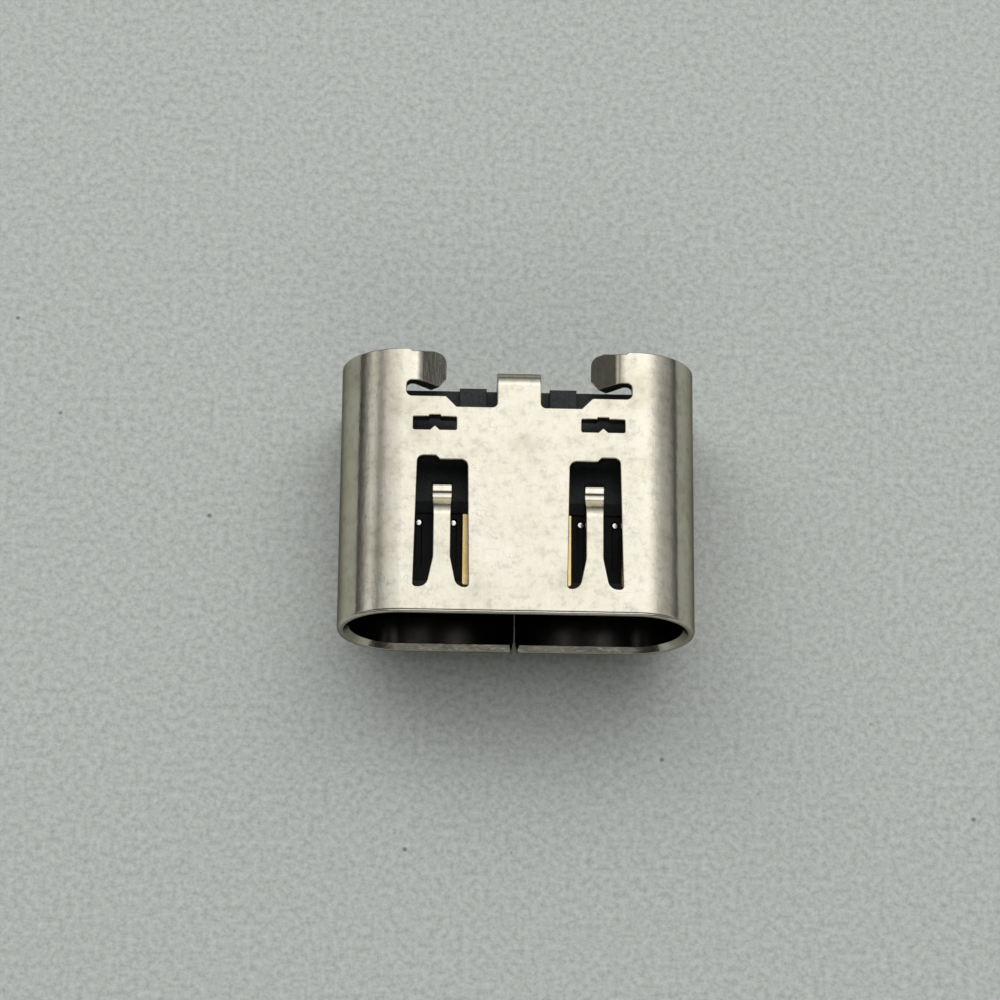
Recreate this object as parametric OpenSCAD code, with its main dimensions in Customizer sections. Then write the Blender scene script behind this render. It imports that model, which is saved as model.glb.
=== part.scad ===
// A USB-C socket that is soldered on top of a circuit board, with sixteen contacts.
// X runs across the mouth, Y runs back into the socket and Z stands up from the board.
// The origin is the centre of the shell's footprint, on the board's face.
// Depths count from the mouth and heights count from the board.

/* [Shell] */
// Width over the two rounded sides
shell_w = 8.94; // [8.90:0.01:9.00]
// Height over the flat roof and bottom
shell_h = 3.16; // [3.14:0.01:3.20]
// Depth from the mouth to the rear edges of the two ear tabs
shell_depth = 7.11; // [7.08:0.01:7.20]
// Depth of the ears beside their tabs
ear_depth = 7.02; // [7.00:0.01:7.05]
// Thickness of the steel sheet
sheet_t = 0.30; // [0.28:0.01:0.30]
// Size of the chamfer round the inside of the mouth
lead_in = 0.15; // [0.12:0.01:0.18]
// Gap left where the sheet's two ends meet under the socket
seam_gap = 0.03; // [0.02:0.01:0.05]
// Width of the rounded notch where the seam reaches the mouth
seam_notch_w = 0.14; // [0.12:0.01:0.18]
// Inside radius of every sharp bend in the sheet
bend_r = 0.05; // [0.04:0.01:0.06]

/* [Rear edge of the roof] */
// Depth of the roof at the ears' slits
roof_depth = 5.74; // [5.70:0.01:5.80]
// Depth of the roof in the two recesses beside the stop tab
recess_depth = 5.46; // [5.42:0.01:5.50]
// Distance of a recess's outer end from the middle
recess_end = 1.57; // [1.50:0.01:1.60]
// Distance from the middle at which the slanted end of a recess reaches the slit
recess_slant_end = 1.84; // [1.80:0.01:1.90]
// Width of the stop tab in the middle
stop_tab_w = 1.10; // [1.00:0.01:1.20]
// Height of the stop tab's lower end
stop_tab_low = 2.10; // [2.06:0.01:2.30]
// Depth at which the stop tab stops the plug
stop_depth = 6.22; // [6.19:0.01:6.22]

/* [Ear tabs] */
// Distance from the middle to the closed end of an ear's slit
slit_end = 2.83; // [2.80:0.01:2.88]
// Depth of the ear tabs' front edges
ear_front = 6.16; // [6.14:0.01:6.18]
// Angle by which an ear tab is bent down
ear_bend = 44; // [42:1:46]
// Length of an ear tab's flat face
ear_tab_l = 0.82; // [0.80:0.01:0.84]

/* [Locking slots] */
// Distance from the middle to a slot's inner end
slot_in = 1.57; // [1.50:0.01:1.60]
// Distance from the middle to a slot's outer end
slot_out = 2.65; // [2.60:0.01:2.70]
// Depth of the slots' front edge
slot_front = 4.83; // [4.80:0.01:4.85]
// Width of the slots, front to back
slot_w = 0.34; // [0.33:0.01:0.36]

/* [Spring fingers] */
// Distance of each finger's middle from the middle of the socket
finger_x = 1.90; // [1.88:0.01:1.92]
// Width of a finger where it is straight
finger_w = 0.44; // [0.42:0.01:0.46]
// Width of a finger's end
finger_end_w = 0.50; // [0.48:0.01:0.52]
// Depth at which a finger grows out of the roof
finger_root = 0.66; // [0.64:0.01:0.68]
// Depth at which a finger grows out of the bottom wall
finger_root_low = 1.05; // [1.02:0.01:1.08]
// Length of the flare at a finger's root
flare_l = 0.79; // [0.76:0.01:0.82]
// Depth at which a finger leaves the wall's plane
finger_fold = 2.61; // [2.58:0.01:2.64]
// Angle at which a finger dips into the socket
finger_dip = 37; // [35:1:38]
// Angle at which a finger's end turns back up
finger_rise = 38; // [36:1:40]
// Depth of a window's rear end beside its finger's inner half
window_rear = 4.03; // [4.00:0.01:4.05]
// Depth of a window's rear end beside its finger's outer half
window_rear_out = 4.13; // [4.12:0.01:4.18]

/* [Legs] */
// Width of each leg, front to back
leg_w = 1.10; // [1.00:0.01:1.20]
// Depth of the front legs' middle
leg_front = 1.95; // [1.90:0.01:2.00]
// Distance between the front legs and the rear legs
leg_pitch = 4.18; // [4.16:0.01:4.20]
// Length of each leg below the board's upper face
leg_reach = 0.70; // [0.60:0.01:1.00]

/* [Tongue] */
// Width of the tongue
tongue_w = 6.69; // [6.66:0.01:6.72]
// Thickness of the tongue
tongue_t = 0.70; // [0.68:0.01:0.72]
// Depth of the tongue's tip
tongue_tip = 1.00; // [0.95:0.01:1.05]
// Radius of the tongue's two corners
tongue_corner = 0.27; // [0.25:0.01:0.30]
// Bevel along the upper and lower edge of the tongue's tip
tip_bevel = 0.13; // [0.10:0.01:0.15]

/* [Housing] */
// Depth at which the thick base begins
base_front = 3.04; // [3.00:0.01:3.10]
// Width of the base
base_w = 7.10; // [7.08:0.01:7.15]
// Thickness of the base
base_t = 1.24; // [1.20:0.01:1.26]
// Depth at which the base is cut down between and beside its ribs
base_step = 5.35; // [5.30:0.01:5.40]
// Depth of the base's rear face
base_rear = 6.34; // [6.33:0.01:6.36]
// Distance from the middle to a rib's inner side
rib_in = 0.80; // [0.75:0.01:0.85]
// Width of each rib
rib_w = 0.68; // [0.60:0.01:0.72]
// Width of the flange that fills the shell's rear end
flange_w = 8.30; // [8.20:0.01:8.30]
// Depth of the flange's rear face
flange_rear = 6.60; // [6.58:0.01:6.62]

/* [Inside the tongue] */
// Width of the two carriers
carrier_w = 6.10; // [6.05:0.01:6.15]
// Depth of the carriers' front end
carrier_front = 1.25; // [1.22:0.01:1.28]
// Depth of the rear end of the carriers and of the mid plate
insert_rear = 5.20; // [5.18:0.01:5.25]
// Thickness of the steel mid plate
mid_plate_t = 0.15; // [0.12:0.01:0.18]
// Depth of the mid plate's front edge
mid_plate_front = 1.12; // [1.10:0.01:1.15]
// Diameter of the holes left by the mould's core pins
pin_hole_d = 0.20; // [0.16:0.01:0.22]
// Depth of the core pin holes
pin_hole_depth = 2.80; // [2.78:0.01:2.82]
// Diameter of the mid plate's pips, which stand in those holes
pip_d = 0.16; // [0.14:0.01:0.17]

/* [Contacts] */
// Thickness of the contacts' strip
contact_t = 0.15; // [0.12:0.01:0.16]
// Height by which a contact stands proud of the tongue
contact_proud = 0.02; // [0.01:0.01:0.03]
// Width of a power contact on the tongue
power_w = 0.25; // [0.24:0.01:0.28]
// Width of a signal contact on the tongue
signal_w = 0.25; // [0.22:0.01:0.26]
// Depth of a power contact's front end
power_front = 1.15; // [1.13:0.01:1.20]
// Depth of a signal contact's front end
signal_front = 1.45; // [1.40:0.01:1.60]
// Width of the soldered tails
tail_w = 0.24; // [0.22:0.01:0.25]
// Depth of the tails' rear ends
tail_rear = 6.97; // [6.90:0.01:7.00]

/* [Hidden] */
$fn = 64;

// Each contact: its place on the tongue, its tail's place on the board and whether it carries power
A1 = [-2.75, -3.35, true];
A4 = [-1.25, -2.55, true];
A5 = [-0.75, -1.25, false];
A6 = [-0.25, -0.25, false];
A7 = [0.25, 0.25, false];
A8 = [0.75, 1.25, false];
A9 = [1.25, 2.55, true];
A12 = [2.75, 3.35, true];
B12 = [-2.75, -3.05, true];
B9 = [-1.25, -2.25, true];
B8 = [-0.75, -1.75, false];
B7 = [-0.25, -0.75, false];
B6 = [0.25, 0.75, false];
B5 = [0.75, 1.75, false];
B4 = [1.25, 2.25, true];
B1 = [2.75, 3.05, true];
UPPER_ROW = [A1, A4, A5, A6, A7, A8, A9, A12];
LOWER_ROW = [B12, B9, B8, B7, B6, B5, B4, B1];

mid_h = shell_h / 2;
tongue_top = mid_h + tongue_t / 2;
base_top = mid_h + base_t / 2;
// Height of the base beside its ribs, just below the ear tabs' tips
base_low_top = 2.00;
ramp_l = 0.23;
ramp_rise = 0.05;
flange_clear = 0.02;
// The flange's rear slopes from under the base's edge down to its rear face
flange_slope_top = 1.62;
flange_slope_end = 1.12;

recess_r = 0.13;
slit_r = 0.14;
ear_bend_start = slit_end - slit_r - 0.01;
ear_bend_r = 0.10;
// An ear tab's rear edge starts a step in front of the ear's and slants back over this length
ear_step = 0.07;
ear_slant_l = 0.54;
ear_corner_r = 0.20;
// How far the cut front corner of an ear tab's end runs along the tab and into its width
ear_front_cut = [0.20, 0.31];
stop_bend_start = stop_depth - bend_r;
leg_gap = 0.12;
leg_cut_in = 2.80;
leg_tip_bevel = 0.25;
// A window's inner and outer side, at its front and rear end, and the step in its rear end
window_in_front = 1.23;
window_in_rear = 1.28;
window_out_front = 2.60;
window_out_rear = 2.53;
window_step_x = 2.03;
window_step = 0.05;
window_front_r = 0.08;
window_step_r = 0.04;
window_rear_in_r = 0.19;
window_rear_out_r = 0.17;
// Half the width of a finger's flare where it turns out into the wall, and the radii of its two curves
flare_w = 0.33;
flare_out_r = 0.22;
flare_in_r = 0.50;
// Inside radius and straight lengths of the finger's dip
finger_valley_r = 0.20;
finger_dip_l = 0.28;
finger_end_l = 0.14;
// Depth by which a finger has widened to the width of its end
finger_wide = finger_fold + 0.35;
slot_tooth_w = 0.25;
slot_tooth = 0.12;
slot_bulge_w = 0.29;
slot_bulge = 0.05;
slot_r = 0.03;
seam_notch_l = 0.26;
seam_notch_r = 0.05;
// The dovetail that locks the two ends of the sheet together
dovetail_front = 3.60;
dovetail_l = 1.10;
dovetail_reach = 0.45;
dovetail_flare = 0.12;

latch_front = 2.35;
latch_l = 0.60;
latch_in = 0.18;
groove_w = 0.16;
groove_front = 1.60;
groove_t = 0.04;
// Depth of the pips' faces below the tongue's
pip_low = 0.02;
pin_hole_xs = [1.60, 2.47];

// A contact jogs sideways between these depths, and an upper one then drops to the lower row's height
jog_front = 3.90;
jog_rear = 5.05;
drop_front = 5.25;
drop_angle = 50;
drop_bend_r = 0.12;
tail_bend_r = 0.18;
// Depth of the middle of the tails where they stand, and heights of the middle of the strip
tail_x = 6.415;
upper_height = tongue_top + contact_proud - contact_t / 2;
tail_mid_height = shell_h - upper_height;
foot_height = contact_t / 2;
drop_l = (upper_height - tail_mid_height - 2 * drop_bend_r * (1 - cos(drop_angle))) / sin(drop_angle);
drop_run = 2 * drop_bend_r * sin(drop_angle) + drop_l * cos(drop_angle);

// Reach of a cutter past the face that it opens
past = 0.5;

// Outlines

function xy(p) = [p[0], p[1]];
function unit(v) = v / norm(v);
// The short way round from one direction to another
function turn_between(a, b) = let (d = b - a) d > 180 ? d - 360 : d < -180 ? d + 360 : d;

// Points round the corner p, which is [x, y, radius], on the way from a to b
function corner(a, p, b) = p[2] == 0 ? [xy(p)] :
    let (u = unit(xy(a) - xy(p)), v = unit(xy(b) - xy(p)), half = acos(u * v) / 2,
         centre = xy(p) + unit(u + v) * p[2] / sin(half),
         first = xy(p) + u * p[2] / tan(half) - centre,
         last = xy(p) + v * p[2] / tan(half) - centre,
         from = atan2(first[1], first[0]),
         turn = turn_between(from, atan2(last[1], last[0])),
         steps = ceil(abs(turn) / 9))
    [for (k = [0:steps]) centre + p[2] * [cos(from + turn * k / steps), sin(from + turn * k / steps)]];

// An outline through the corners pts, each rounded by its own radius
function rounded(pts) = let (n = len(pts))
    [for (i = [0:n - 1]) each corner(pts[(i + n - 1) % n], pts[i], pts[(i + 1) % n])];

// Stations [x, y, heading] along a bend of radius r that starts at s
function bend(s, turn, r) = let (side = sign(turn), steps = ceil(abs(turn) / 10))
    [for (k = [1:steps]) let (h = s[2] + turn * k / steps)
        [s[0] + side * r * (sin(h) - sin(s[2])), s[1] - side * r * (cos(h) - cos(s[2])), h]];

// Stations along a strip that starts at s: each leg is [straight length, turn after it, radius]
function stations(s, legs, i = 0) = i == len(legs) ? [s] :
    let (end = [s[0] + legs[i][0] * cos(s[2]), s[1] + legs[i][0] * sin(s[2]), s[2]],
         curve = legs[i][1] == 0 ? [] : bend(end, legs[i][1], legs[i][2]),
         next = len(curve) == 0 ? end : curve[len(curve) - 1],
         between = len(curve) == 0 ? [] : [end, for (k = [0:1:len(curve) - 2]) curve[k]])
    concat([s], between, stations(next, legs, i + 1));

// The side view of a strip t thick that is bent along its middle line
function strip(s, legs, t) = let (path = stations(s, legs), n = len(path))
    concat([for (p = path) [p[0] - sin(p[2]) * t / 2, p[1] + cos(p[2]) * t / 2]],
           [for (i = [n - 1:-1:0]) let (p = path[i]) [p[0] + sin(p[2]) * t / 2, p[1] - cos(p[2]) * t / 2]]);

// Placing

module from_mouth() translate([0, -shell_depth / 2, 0]) children();
module both_sides() { children(); mirror([1, 0, 0]) children(); }
module both_rows() { children(); translate([0, 0, shell_h]) mirror([0, 0, 1]) children(); }
// A front view, standing on the board, run back from one depth to another
module run_back(front, rear) translate([0, rear, 0]) rotate([90, 0, 0]) linear_extrude(rear - front) children();
// A side view of depth and height, run across from one side to the other
module run_across(left, right)
    translate([left, 0, 0]) rotate([90, 0, 90]) linear_extrude(right - left) children();
// A plan view, raised between two heights
module raise(low, high) translate([0, 0, low]) linear_extrude(high - low) children();

// Shell

module oblong(w, h) translate([0, mid_h]) {
    square([w - h, h], center = true);
    for (side = [-1, 1]) translate([side * (w - h) / 2, 0]) circle(d = h);
}

// The ring of sheet, chamfered round the inside of its mouth to lead the plug in
module sheet_ring() let (lip = sheet_t - lead_in) difference() {
    run_back(0, ear_depth) difference() {
        oblong(shell_w, shell_h);
        oblong(shell_w - 2 * sheet_t, shell_h - 2 * sheet_t);
    }
    hull() {
        run_back(-past, 0) oblong(shell_w - 2 * lip, shell_h - 2 * lip);
        run_back(0, lead_in) oblong(shell_w - 2 * sheet_t, shell_h - 2 * sheet_t);
    }
}

// The plan of all that is cut from one half of the roof behind its rear edge
module roof_rear_plan() polygon(rounded([
    [0, stop_bend_start, 0],
    [stop_tab_w / 2, stop_bend_start, 0],
    [stop_tab_w / 2, recess_depth, recess_r],
    [recess_end, recess_depth, 0.04],
    [recess_slant_end, roof_depth, 0.08],
    [slit_end, roof_depth, slit_r],
    [slit_end, ear_front, slit_r],
    [ear_bend_start, ear_front, 0],
    [ear_bend_start, shell_depth + past, 0],
    [0, shell_depth + past, 0]]));

module slot_plan() let (mid = (slot_in + slot_out) / 2, rear = slot_front + slot_w) polygon(rounded([
    [slot_in, slot_front, slot_r],
    [mid - slot_tooth_w / 2, slot_front, 0],
    [mid, slot_front + slot_tooth, 0],
    [mid + slot_tooth_w / 2, slot_front, 0],
    [slot_out, slot_front, slot_r],
    [slot_out, rear, slot_r],
    [mid + slot_bulge_w / 2, rear, 0],
    [mid + slot_bulge_w / 2, rear + slot_bulge, slot_r],
    [mid - slot_bulge_w / 2, rear + slot_bulge, slot_r],
    [mid - slot_bulge_w / 2, rear, 0],
    [slot_in, rear, slot_r]]));

// A window's outline, drawn round its finger from its root as far as its fold
module window_plan(root) let (w = finger_w / 2, flare_end = root + flare_l) polygon(rounded([
    [window_in_front, root, window_front_r],
    [finger_x - flare_w, root, flare_out_r],
    [finger_x - w, flare_end, flare_in_r],
    [finger_x - w, finger_fold, 0],
    [finger_x + w, finger_fold, 0],
    [finger_x + w, flare_end, flare_in_r],
    [finger_x + flare_w, root, flare_out_r],
    [window_out_front, root, window_front_r],
    [window_out_rear, window_rear_out, window_rear_out_r],
    [window_step_x + window_step, window_rear_out, window_step_r],
    [window_step_x - window_step, window_rear, window_step_r],
    [window_in_rear, window_rear, window_rear_in_r]]));

// The part of a roof finger that is bent down into the socket, drawn as its side view
module finger() let (w = finger_w / 2, end_w = finger_end_w / 2) intersection() {
    run_across(finger_x - end_w, finger_x + end_w)
        polygon(strip([finger_fold, shell_h - sheet_t / 2, 0], [
            [0, -finger_dip, bend_r + sheet_t / 2],
            [finger_dip_l, finger_dip + finger_rise, finger_valley_r + sheet_t / 2],
            [finger_end_l, 0, 0]], sheet_t));
    raise(0, shell_h) polygon([
        [finger_x - w, finger_fold], [finger_x - end_w, finger_wide], [finger_x - end_w, window_rear],
        [finger_x + end_w, window_rear], [finger_x + end_w, finger_wide], [finger_x + w, finger_fold]]);
}

// Ear tab, bent down and in, with its end's corners rounded and cut off
module ear_tab() let (r = ear_bend_r + sheet_t,
                      tip = ear_bend_start - r * sin(ear_bend) - ear_tab_l * cos(ear_bend)) intersection() {
    mirror([1, 0, 0]) run_back(ear_front, shell_depth)
        polygon(strip([-ear_bend_start, shell_h - sheet_t / 2, 0], [
            [0, -ear_bend, ear_bend_r + sheet_t / 2],
            [ear_tab_l, 0, 0]], sheet_t));
    raise(0, shell_h) polygon(rounded([
        [ear_bend_start, ear_front, 0],
        [ear_bend_start, ear_depth - ear_step, 0],
        [ear_bend_start - ear_slant_l, shell_depth, 0.10],
        [tip, shell_depth, ear_corner_r],
        [tip, ear_front + ear_front_cut[1], 0.04],
        [tip + ear_front_cut[0], ear_front, 0.05]]));
}

module stop_tab() run_across(-stop_tab_w / 2, stop_tab_w / 2)
    polygon(strip([stop_bend_start, shell_h - sheet_t / 2, 0], [
        [0, -90, bend_r + sheet_t / 2],
        [shell_h - sheet_t - bend_r - stop_tab_low, 0, 0]], sheet_t));

// A thin cut of width w along the points pts
module hairline(pts, w) for (i = [0:len(pts) - 2]) let (step = pts[i + 1] - pts[i])
    translate(pts[i]) rotate(atan2(step[1], step[0])) translate([-w / 2, -w / 2]) square([norm(step) + w, w]);

// The seam's gap with its dovetail, widened to a rounded notch at the mouth
module seam_plan() let (g = seam_gap / 2, notch = seam_notch_w / 2, front = dovetail_front,
                        rear = dovetail_front + dovetail_l) {
    hairline([[0, notch], [0, front], [dovetail_reach, front - dovetail_flare],
              [dovetail_reach, rear + dovetail_flare], [0, rear], [0, stop_depth + past]], seam_gap);
    polygon(rounded([
        [-notch - seam_notch_r, -past, 0],
        [notch + seam_notch_r, -past, 0],
        [notch + seam_notch_r, 0, 0],
        [notch, 0, seam_notch_r],
        [g, seam_notch_l, 0],
        [-g, seam_notch_l, 0],
        [-notch, 0, seam_notch_r],
        [-notch - seam_notch_r, 0, 0]]));
}

// The plan of the opening that unfolding a leg leaves in the lower rounded side
module leg_opening_plan(front, rear) translate([leg_cut_in, front]) square([shell_w / 2, rear - front]);

module leg(depth) run_across(shell_w / 2 - sheet_t, shell_w / 2) polygon(rounded([
    [depth - leg_w / 2, mid_h, 0],
    [depth - leg_w / 2, -leg_reach, leg_tip_bevel],
    [depth + leg_w / 2, -leg_reach, leg_tip_bevel],
    [depth + leg_w / 2, mid_h, 0]]));

module shell() color([0.90, 0.88, 0.82]) from_mouth() {
    difference() {
        sheet_ring();
        both_sides() {
            raise(mid_h, shell_h + past) {
                roof_rear_plan();
                slot_plan();
                window_plan(finger_root);
            }
            raise(-past, mid_h) {
                window_plan(finger_root_low);
                leg_opening_plan(leg_front - leg_w / 2 - leg_gap, leg_front + leg_w / 2 + leg_gap);
                leg_opening_plan(leg_front + leg_pitch - leg_w / 2 - leg_gap, shell_depth + past);
            }
        }
        raise(-past, mid_h) {
            seam_plan();
            translate([-leg_cut_in - 0.1, stop_depth]) square([2 * leg_cut_in + 0.2, shell_depth]);
        }
    }
    both_sides() {
        both_rows() finger();
        ear_tab();
        leg(leg_front);
        leg(leg_front + leg_pitch);
    }
    stop_tab();
}

// Inside the tongue, drawn for the upper row and turned over for the lower one

module flip() translate([0, 0, shell_h]) mirror([0, 0, 1]) children();

// The stretch of a contact that lies on the tongue and then jogs sideways inside the base
module flat_contact(c) let (w = (c[2] ? power_w : signal_w) / 2, v = tail_w / 2,
                            front = c[2] ? power_front : signal_front, top = tongue_top + contact_proud)
    raise(top - contact_t, top) polygon([
        [c[0] - w, front], [c[0] - w, jog_front], [c[1] - v, jog_rear], [c[1] - v, drop_front],
        [c[1] + v, drop_front], [c[1] + v, jog_rear], [c[0] + w, jog_front], [c[0] + w, front]]);

module carrier_slab() raise(mid_h + mid_plate_t / 2, tongue_top)
    translate([-carrier_w / 2, carrier_front]) square([carrier_w, insert_rear - carrier_front]);

module carrier(row) difference() {
    carrier_slab();
    for (c = row) flat_contact(c);
    both_sides() for (x = pin_hole_xs) {
        translate([x, pin_hole_depth, mid_h]) cylinder(d = pin_hole_d, h = tongue_t);
        raise(tongue_top - groove_t, tongue_top + past)
            translate([x - groove_w / 2, groove_front]) square([groove_w, pin_hole_depth - groove_front]);
    }
}

module upper_carrier() color([0.10, 0.10, 0.10]) from_mouth() carrier(UPPER_ROW);
module lower_carrier() color([0.10, 0.10, 0.10]) from_mouth() flip() carrier(LOWER_ROW);

module mid_plate_body() raise(mid_h - mid_plate_t / 2, mid_h + mid_plate_t / 2) polygon(rounded([
    [-tongue_w / 2, mid_plate_front, 0.20],
    [tongue_w / 2, mid_plate_front, 0.20],
    [tongue_w / 2, insert_rear, 0],
    [-tongue_w / 2, insert_rear, 0]]));

// The two notches in the tongue's sides that the plug's latches snap into
module latch_notches() both_sides() raise(0, shell_h)
    translate([tongue_w / 2 - latch_in, latch_front]) square([latch_in + past, latch_l]);

module mid_plate() color([0.75, 0.75, 0.74]) from_mouth() {
    difference() {
        mid_plate_body();
        latch_notches();
    }
    both_rows() both_sides() for (x = pin_hole_xs)
        translate([x, pin_hole_depth, mid_h]) cylinder(d = pip_d, h = tongue_t / 2 - pip_low);
}

// Contacts

module tail(c, height, legs) run_across(c[1] - tail_w / 2, c[1] + tail_w / 2)
    polygon(strip([drop_front, height, 0], legs, contact_t));

// The way down to the board and out to the rear, shared by both rows
down_legs = [[tail_mid_height - tail_bend_r - foot_height - tail_bend_r, 90, tail_bend_r],
             [tail_rear - tail_x - tail_bend_r, 0, 0]];

module upper_contact(c) {
    flat_contact(c);
    tail(c, upper_height, concat([
        [0, -drop_angle, drop_bend_r],
        [drop_l, drop_angle, drop_bend_r],
        [tail_x - tail_bend_r - drop_front - drop_run, -90, tail_bend_r]], down_legs));
}

module lower_contact(c) {
    flip() flat_contact(c);
    tail(c, tail_mid_height, concat([[tail_x - tail_bend_r - drop_front, -90, tail_bend_r]], down_legs));
}

// Housing

module tongue_body() let (low = shell_h - tongue_top, rear = base_front + ramp_l) intersection() {
    run_across(-tongue_w / 2, tongue_w / 2) polygon([
        [tongue_tip, low + tip_bevel], [tongue_tip + tip_bevel, low], [rear, low],
        [rear, tongue_top], [tongue_tip + tip_bevel, tongue_top], [tongue_tip, tongue_top - tip_bevel]]);
    raise(0, shell_h) polygon(rounded([
        [-tongue_w / 2, tongue_tip, tongue_corner],
        [tongue_w / 2, tongue_tip, tongue_corner],
        [tongue_w / 2, rear, 0],
        [-tongue_w / 2, rear, 0]]));
}

module base_body() let (low = shell_h - base_top) {
    run_across(-base_w / 2, base_w / 2) polygon([
        [base_front, shell_h - tongue_top - ramp_rise], [base_front + ramp_l, low], [base_rear, low],
        [base_rear, base_low_top], [base_step, base_low_top], [base_step, base_top],
        [base_front + ramp_l, base_top], [base_front, tongue_top + ramp_rise]]);
    both_sides() run_across(rib_in, rib_in + rib_w)
        translate([base_step, mid_h]) square([base_rear - base_step, base_top - mid_h]);
}

module flange_body() run_across(-flange_w / 2, flange_w / 2) polygon([
    [stop_depth, flange_clear], [flange_rear, flange_clear], [flange_rear, flange_slope_end],
    [base_rear, flange_slope_top], [stop_depth, flange_slope_top]]);

module housing() color([0.14, 0.15, 0.15]) from_mouth() difference() {
    union() {
        tongue_body();
        base_body();
        flange_body();
    }
    carrier_slab();
    flip() carrier_slab();
    mid_plate_body();
    latch_notches();
    for (c = UPPER_ROW) upper_contact(c);
    for (c = LOWER_ROW) lower_contact(c);
}

module gold_upper(c) color([0.83, 0.68, 0.35]) from_mouth() upper_contact(c);
module gold_lower(c) color([0.83, 0.68, 0.35]) from_mouth() lower_contact(c);

shell();
housing();
upper_carrier();
lower_carrier();
mid_plate();
gold_upper(A1);  // contact_a1
gold_upper(A4);  // contact_a4
gold_upper(A5);  // contact_a5
gold_upper(A6);  // contact_a6
gold_upper(A7);  // contact_a7
gold_upper(A8);  // contact_a8
gold_upper(A9);  // contact_a9
gold_upper(A12);  // contact_a12
gold_lower(B12);  // contact_b12
gold_lower(B9);  // contact_b9
gold_lower(B8);  // contact_b8
gold_lower(B7);  // contact_b7
gold_lower(B6);  // contact_b6
gold_lower(B5);  // contact_b5
gold_lower(B4);  // contact_b4
gold_lower(B1);  // contact_b1
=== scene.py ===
"""A USB-C socket for soldering on a circuit board, standing on its legs on a pale bench."""
import math

import bpy
from mathutils import Matrix, Vector
from mathutils.geometry import delaunay_2d_cdt


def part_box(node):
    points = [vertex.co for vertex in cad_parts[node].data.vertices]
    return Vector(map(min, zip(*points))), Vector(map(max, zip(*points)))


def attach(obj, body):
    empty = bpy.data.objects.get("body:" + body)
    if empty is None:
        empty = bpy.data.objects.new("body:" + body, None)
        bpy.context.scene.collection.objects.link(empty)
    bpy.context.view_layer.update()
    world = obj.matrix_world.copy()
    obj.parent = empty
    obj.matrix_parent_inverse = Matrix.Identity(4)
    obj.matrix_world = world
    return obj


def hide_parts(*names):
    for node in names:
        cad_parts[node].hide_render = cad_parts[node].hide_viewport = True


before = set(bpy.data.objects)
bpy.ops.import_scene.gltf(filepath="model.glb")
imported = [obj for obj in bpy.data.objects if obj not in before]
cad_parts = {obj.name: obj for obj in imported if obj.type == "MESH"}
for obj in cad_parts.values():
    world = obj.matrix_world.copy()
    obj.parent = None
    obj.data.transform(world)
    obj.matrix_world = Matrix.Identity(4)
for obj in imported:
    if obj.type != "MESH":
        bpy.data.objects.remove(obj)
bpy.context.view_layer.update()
MM = 0.001
MOUTH_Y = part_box("shell")[0].y / MM

# Mid plate: a thin stainless plate down the middle of the tongue, stamped from strip.
# The plug's latches snap into the notches in its two sides, and the tongue is moulded round it.

SHELL_H = 3.16
MIDDLE_H = SHELL_H / 2
TONGUE_W = 6.69
TONGUE_T = 0.70
PLATE_T = 0.15
PLATE_FRONT = 1.12
PLATE_REAR = 5.20
PLATE_CORNER = 0.20
PLATE_STAMP_R = 0.03
PLATE_EDGE = 0.015
LATCH_FRONT = 2.35
LATCH_REAR = 2.95
LATCH_IN = 0.18
PIP_D = 0.16
PIP_XS = (1.60, 2.47)
PIP_DEPTH = 2.80
PIP_TOP = 0.33
PLATE_STEEL = "#E6E3DC"
# Size of a rolling mark across and along the strip
PLATE_GRAIN = 0.05
PLATE_GRAIN_L = 2.5


def linear(colour):
    """An sRGB hex colour as the linear RGBA that a shader takes."""
    parts = [int(colour[i:i + 2], 16) / 255 for i in (1, 3, 5)]
    return [c / 12.92 if c <= 0.04045 else ((c + 0.055) / 1.055) ** 2.4 for c in parts] + [1.0]


def add(tree, kind, settings=None, links=None):
    """Adds a node, sets its inputs or its own properties, and links its inputs."""
    node = tree.nodes.new(kind)
    for name, value in (settings or {}).items():
        if isinstance(name, int) or name in node.inputs:
            node.inputs[name].default_value = value
        else:
            setattr(node, name, value)
    for name, socket in (links or {}).items():
        tree.links.new(socket, node.inputs[name])
    return node


def new_material(name):
    """A material with its surface shader and output, ready for more nodes."""
    material = bpy.data.materials.new(name)
    material.use_nodes = True
    return material, material.node_tree, material.node_tree.nodes["Principled BSDF"]


def ramp_stops(node, stops):
    """Gives a colour ramp its stops, each a place from 0 to 1 and a grey value or a hex colour."""
    marks = node.color_ramp.elements
    while len(marks) < len(stops):
        marks.new(0.5)
    for mark, (place, value) in zip(marks, stops):
        mark.position = place
        mark.color = linear(value) if isinstance(value, str) else (value, value, value, 1.0)


def rounded(corners):
    """An outline through corners, each [x, y, radius], as points about 9 degrees apart on its arcs."""
    points = []
    for i, (x, y, radius) in enumerate(corners):
        here = Vector((x, y))
        if radius == 0:
            points.append(here)
            continue
        before = (Vector(corners[i - 1][:2]) - here).normalized()
        after = (Vector(corners[(i + 1) % len(corners)][:2]) - here).normalized()
        half = before.angle(after) / 2
        centre = here + (before + after).normalized() * radius / math.sin(half)
        first = here + before * radius / math.tan(half) - centre
        turn = first.angle_signed(here + after * radius / math.tan(half) - centre)
        steps = max(2, math.ceil(abs(math.degrees(turn)) / 9))
        points += [centre + first @ Matrix.Rotation(turn * k / steps, 2) for k in range(steps + 1)]
    return points


def signed_area(points):
    """The area inside an outline, less than nothing where the outline runs clockwise."""
    return sum(a.x * b.y - b.x * a.y for a, b in zip(points, points[1:] + points[:1])) / 2


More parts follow.
